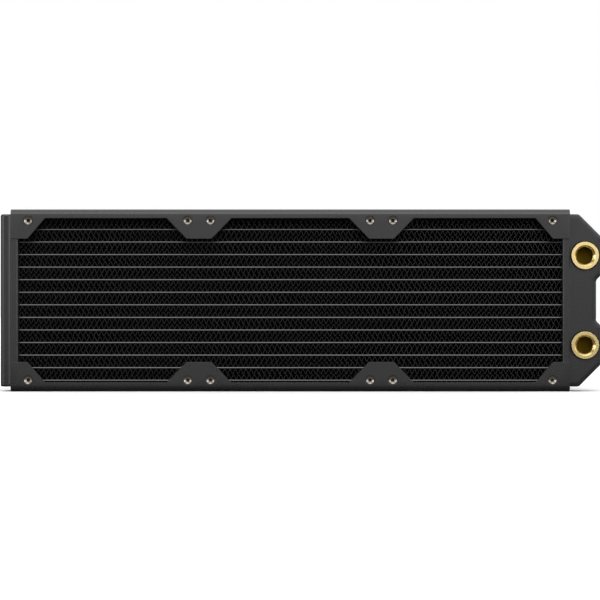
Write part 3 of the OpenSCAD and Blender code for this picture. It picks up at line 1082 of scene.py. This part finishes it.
# %% [markdown]
# ## Screw guards
#
# Behind each tab a thin angle stops a screw that is too long before it reaches a tube. The CAD shape is
# right, so a copy of its mesh is merged from loose triangles, cleaned of flat edges and softened.

# %% Soften the guards
GUARD_EDGE = 0.15 * MM


def softened_copy(node, name, material, width):
    bm = bmesh.new()
    bm.from_mesh(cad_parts[node].data)
    bmesh.ops.remove_doubles(bm, verts=bm.verts[:], dist=SAME_PLACE)
    bmesh.ops.dissolve_limit(bm, angle_limit=math.radians(1), verts=bm.verts[:], edges=bm.edges[:])
    bmesh.ops.recalc_face_normals(bm, faces=bm.faces[:])
    piece = make_piece(name, bm, [material], [node])
    return soften_edges(piece, width, segments=2)


for face_name in ("front", "rear"):
    node = face_name + "_screw_guards"
    softened_copy(node, "folded_" + node, guard_paint, GUARD_EDGE)

# %% [markdown]
# ## Flat tubes
#
# Fourteen flat tubes carry the coolant. Their round noses face the fans, and each catches the light as a
# thin line. A tube is a loop with two half-round ends, extruded along the core and given a wall. A
# squashed cylinder would be too thick in the middle and too thin near its noses.

# %% Draw the tubes
TUBE_WALL = 0.3 * MM


def drawn_tube(node):
    low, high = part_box(node)
    bm = bmesh.new()
    ring = slot_loop(bm, low.x, (low.z + high.z) / 2, segments=32)
    pull(bm, edges_of(ring), (high.x - low.x, 0, 0))
    face_towards(bm, (0, 0, 1))
    give_thickness(bm, TUBE_WALL)
    return bm


for node in TUBE_NODES:
    make_piece("drawn_" + node, drawn_tube(node), [core_paint], [node], smooth_angle=50)

# %% [markdown]
# ## Fins
#
# Between two tubes lie two strips of thin foil, folded to and fro, with a flat foil between them. Air
# goes through the folds. In the middle of their depth the folds also sway sideways, which stirs the air,
# and hides what is behind the core.
#
# A zigzag line starts and ends at half height, so that every crest is a whole one. It is extruded over
# the depth, its crests are bevelled round, and a formula sways it and lets the pitch drift a little, as
# folded foil does. The strip is folded one wave too long at each end and cut off at the headers, so the
# sway blocks the view there too. A strip has thousands of faces, so four are folded and then copied.

# %% Fold the fins
FIN_WAVES = 105
FOIL = 0.16 * MM
HEADER_GAP = 0.06 * MM
BANK_NODES = [f"fin_bank_{number:02d}" for number in range(1, 14)]
HALF_FIN_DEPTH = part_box(BANK_NODES[0])[1].y
core_start, core_end = collar_high.x + HEADER_GAP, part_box("right_header")[0].x - HEADER_GAP
FIN_PITCH = (core_end - core_start) / FIN_WAVES
STRIP_HEIGHT = 1.2 * FIN_PITCH
CREST_BEVEL = 0.27 * STRIP_HEIGHT
SWAY = [  # share of the half depth, share of the full sway
    (-1.0, 0.0), (-0.7, 0.0), (-0.32, 1.0), (0.32, -1.0), (0.7, 0.0), (1.0, 0.0)
]
FULL_SWAY = 0.7 * FIN_PITCH
DRIFT = 0.22 * FIN_PITCH
DRIFT_LENGTH = 9.5 * FIN_PITCH  # along the strip, for each radian of the drift
STRIP_PHASES = (0.0, 1.9, 3.7, 5.2)
FOIL_EDGE_FACING = 0.9


def fold_sheet(bm):
    """A zigzag sheet with round crests. Its depth runs over the stations of SWAY."""
    folds = range(-2, 2 * FIN_WAVES + 2)
    path = [(-FIN_PITCH, STRIP_HEIGHT / 2)]
    path += [((fold + 0.5) * FIN_PITCH / 2, STRIP_HEIGHT * (fold % 2)) for fold in folds]
    path += [((FIN_WAVES + 1) * FIN_PITCH, STRIP_HEIGHT / 2)]
    verts = [bm.verts.new((core_start + x, -HALF_FIN_DEPTH, z)) for x, z in path]
    edges = [bm.edges.new(pair) for pair in zip(verts, verts[1:])]
    for (before, _), (after, _) in zip(SWAY, SWAY[1:]):
        deeper = pull(bm, edges, (0, (after - before) * HALF_FIN_DEPTH, 0))
        edges = [edge for edge in only(bmesh.types.BMEdge, deeper) if not runs_deep(edge)]
    crests = [edge for edge in bm.edges if runs_deep(edge) and not edge.is_boundary]
    round_edges(bm, crests, CREST_BEVEL, segments=2)


def sway_and_drift(bm, phase):
    """Moves the folds sideways."""
    for vert in bm.verts:
        share = vert.co.y / HALF_FIN_DEPTH
        sway = min(SWAY, key=lambda station: abs(station[0] - share))[1] * FULL_SWAY
        drift = DRIFT * math.sin(vert.co.x / DRIFT_LENGTH + phase)
        vert.co.x += sway + drift


def folded_strip(phase):
    """A strip whose foil edges have the second finish, cut and closed at both headers."""
    bm = bmesh.new()
    fold_sheet(bm)
    sway_and_drift(bm, phase)
    give_thickness(bm, FOIL)
    for x, outwards in ((core_start, -1), (core_end, 1)):
        cut = cut_away(bm, x, outwards)
        fill_between(bm, [[edge for edge in cut if edge.is_boundary]])
    bm.normal_update()
    for face in bm.faces:
        # Faces that look along Y are the foil edges and get the lighter, lit copy; the folds get the painted
        # shade.
        face.material_index = int(abs(face.normal.y) > FOIL_EDGE_FACING)
    return as_template(bm)


def strips_between(spans, templates):
    """Stretches a copy of a strip into each span of heights."""
    bm = bmesh.new()
    for (low_z, high_z), template in zip(spans, templates):
        start = len(bm.verts)
        bm.from_mesh(template)
        bm.verts.ensure_lookup_table()
        verts = bm.verts[start:]
        heights = [vert.co.z for vert in verts]
        stretch = (high_z - low_z) / (max(heights) - min(heights))
        settle = Matrix.Translation((0, 0, low_z - min(heights) * stretch))
        fit = settle @ Matrix.Scale(stretch, 4, (0, 0, 1))
        bmesh.ops.transform(bm, matrix=fit, verts=verts)
    return bm


def folded_bank(node, spans, kinds):
    bm = strips_between(spans, kinds)
    make_piece("folded_" + node, bm, [fin_shade_paint, fin_lit_edge_paint], [node], smooth_angle=50)


strip_kinds = [folded_strip(phase) for phase in STRIP_PHASES]
SEPARATOR = 0.2 * MM
for number, node in enumerate(BANK_NODES, start=1):
    low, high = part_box(node)
    half = (high.z - low.z - SEPARATOR) / 2
    kinds = strip_kinds[:2] if number % 2 else strip_kinds[2:]
    folded_bank(node, [(low.z, low.z + half), (high.z - half, high.z)], kinds)
for node, kind in (("lower_edge_fin", strip_kinds[0]), ("upper_edge_fin", strip_kinds[2])):
    low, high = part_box(node)
    folded_bank(node, [(low.z, high.z)], [kind])

# %% [markdown]
# ### Foils between the strips
#
# A flat foil parts the two strips of each bank, so that the folds of one can't slip into the other. It
# ends a little behind the edges of the folds and stays in their shadow. A foil is only a thin box, so
# each is a cube that is scaled and placed by a matrix, and one piece holds them all.

# %% Lay the foils that part two strips
FOIL_SETBACK = 0.8 * MM
FOIL_EDGE = 0.06 * MM


def parting_foils():
    low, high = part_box("fin_separators")
    bm = bmesh.new()
    size = (high.x - low.x, high.y - low.y - 2 * FOIL_SETBACK, SEPARATOR)
    for node in BANK_NODES:
        bank_low, bank_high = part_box(node)
        at = Matrix.Translation(((low.x + high.x) / 2, 0, (bank_low.z + bank_high.z) / 2))
        bmesh.ops.create_cube(bm, size=1.0, matrix=at @ Matrix.Diagonal((*size, 1)))
    return bm


# The foils get the folds' near-black paint, which paints them as shade.
foils = make_piece("parting_foils", parting_foils(), [fin_shade_paint], ["fin_separators"])
soften_edges(foils, FOIL_EDGE, segments=2)

# %% [markdown]
# ## Studio
#
# The radiator stands on a plain pale floor. Black paint shows hardly any colour of its own, so what the
# eye sees is the studio mirrored in it, and a pale floor would turn the lower bends grey.
#
# In a studio, dark cards keep the floor's glare off black paint. Here the Light Path node does that: the
# camera sees the floor and the sky pale, and every other ray sees them dim.

# %% Floor
FLOOR_SIZE = 6.0
FLOOR_SEEN = 0.97
FLOOR_MIRRORED = 0.08


def make_floor():
    bm = bmesh.new()
    bmesh.ops.create_grid(bm, x_segments=8, y_segments=8, size=FLOOR_SIZE)
    mesh = bpy.data.meshes.new("floor")
    bm.to_mesh(mesh)
    bm.free()
    material, tree, shader = new_material("pale floor")
    seen = add_node(tree, "ShaderNodeLightPath").outputs["Is Camera Ray"]
    tone = add_node(tree, "ShaderNodeMix", {"data_type": "RGBA"})
    tone.inputs["A"].default_value = grey(FLOOR_MIRRORED)
    tone.inputs["B"].default_value = grey(FLOOR_SEEN)
    shader.inputs["Roughness"].default_value = 0.9
    shader.inputs["Specular IOR Level"].default_value = 0.0
    tree.links.new(seen, tone.inputs["Factor"])
    tree.links.new(tone.outputs["Result"], shader.inputs["Base Color"])
    mesh.materials.append(material)
    floor = bpy.data.objects.new("floor", mesh)
    scene.collection.objects.link(floor)
    print("floor", len(mesh.polygons), "faces")


make_floor()

# %% [markdown]
# ### Soft patches of light
#
# The light is drawn as soft patches on the sky. In the order of the list they are a small card behind
# the camera for the flat faces, a softbox high in front for the upper bends, a smaller one at the upper
# right for the brass, a wide one overhead, a soft wall on each side, set a little forward, for the steep
# bends, and a weak one behind. Between them the sky stays dim, and that is what makes a rounded edge
# read as a dark line beside a bright one. Lamps would do too, but a patch needs only a direction, a
# width and a strength, and black paint mirrors it just as drawn.

# %% Soft patches of light
SOFT_PATCHES = [  # direction, full light within, no light beyond (degrees), strength
    ((-0.03, -1.0, 0.03), 8, 20, 1.25),
    ((0.0, -0.72, 0.69), 8, 26, 3.1),
    ((0.45, -0.8, 0.42), 6, 22, 2.0),
    ((0.0, 0.1, 1.0), 20, 50, 1.3),
    ((-0.87, -0.5, 0.0), 17, 38, 3.0),
    ((0.87, -0.5, 0.0), 17, 38, 3.0),
    ((0.0, 1.0, 0.15), 10, 50, 0.5),
]
DIM_SURROUND = 0.32
SKY_SEEN = 1.0


def make_surround():
    world = bpy.data.worlds.new("soft studio")
    world.use_nodes = True
    tree = world.node_tree
    link = tree.links.new
    direction = add_node(tree, "ShaderNodeTexCoord").outputs["Generated"]
    total = DIM_SURROUND
    for aim, inner, outer, strength in SOFT_PATCHES:
        along = add_node(tree, "ShaderNodeVectorMath", {"operation": "DOT_PRODUCT"})
        along.inputs[1].default_value = Vector(aim).normalized()
        patch = add_node(tree, "ShaderNodeMapRange", {"interpolation_type": "SMOOTHSTEP"})
        patch.inputs["From Min"].default_value = math.cos(math.radians(outer))
        patch.inputs["From Max"].default_value = math.cos(math.radians(inner))
        patch.inputs["To Max"].default_value = strength
        link(direction, along.inputs[0])
        link(along.outputs["Value"], patch.inputs["Value"])
        total = calculate(tree, "ADD", patch.outputs["Result"], total)
    seen = add_node(tree, "ShaderNodeLightPath").outputs["Is Camera Ray"]
    level = add_node(tree, "ShaderNodeMix", {"data_type": "FLOAT"})
    level.inputs["B"].default_value = SKY_SEEN
    link(seen, level.inputs["Factor"])
    link(total, level.inputs["A"])
    link(level.outputs["Result"], tree.nodes["Background"].inputs["Strength"])
    tree.nodes["Background"].inputs["Color"].default_value = (1, 1, 1, 1)
    return world


scene.world = make_surround()
scene.view_settings.view_transform = "Standard"
print(len(SOFT_PATCHES), "patches of light")

# %% [markdown]
# ## Camera
#
# The camera looks straight at the front from about middle height. Its lens is worked out from how wide
# the view is at the front face, so the radiator fills the width of the picture.

# %% Camera
VIEW_WIDTH = 394.5 * MM
VIEW_DISTANCE = 1.5
VIEW_SHIFT = (-0.6 * MM, 0.25 * MM)  # from the middle, sideways and up
SENSOR = 36.0
camera_data = bpy.data.cameras.new("camera")
camera_data.sensor_width = SENSOR
camera_data.lens = SENSOR * VIEW_DISTANCE / VIEW_WIDTH
camera = bpy.data.objects.new("camera", camera_data)
camera.location = (VIEW_SHIFT[0], FRONT_Y - VIEW_DISTANCE, MIDDLE_Z + VIEW_SHIFT[1])
camera.rotation_euler = (math.pi / 2, 0, 0)
scene.collection.objects.link(camera)
scene.camera = camera
print("lens", round(camera_data.lens, 1), "mm")
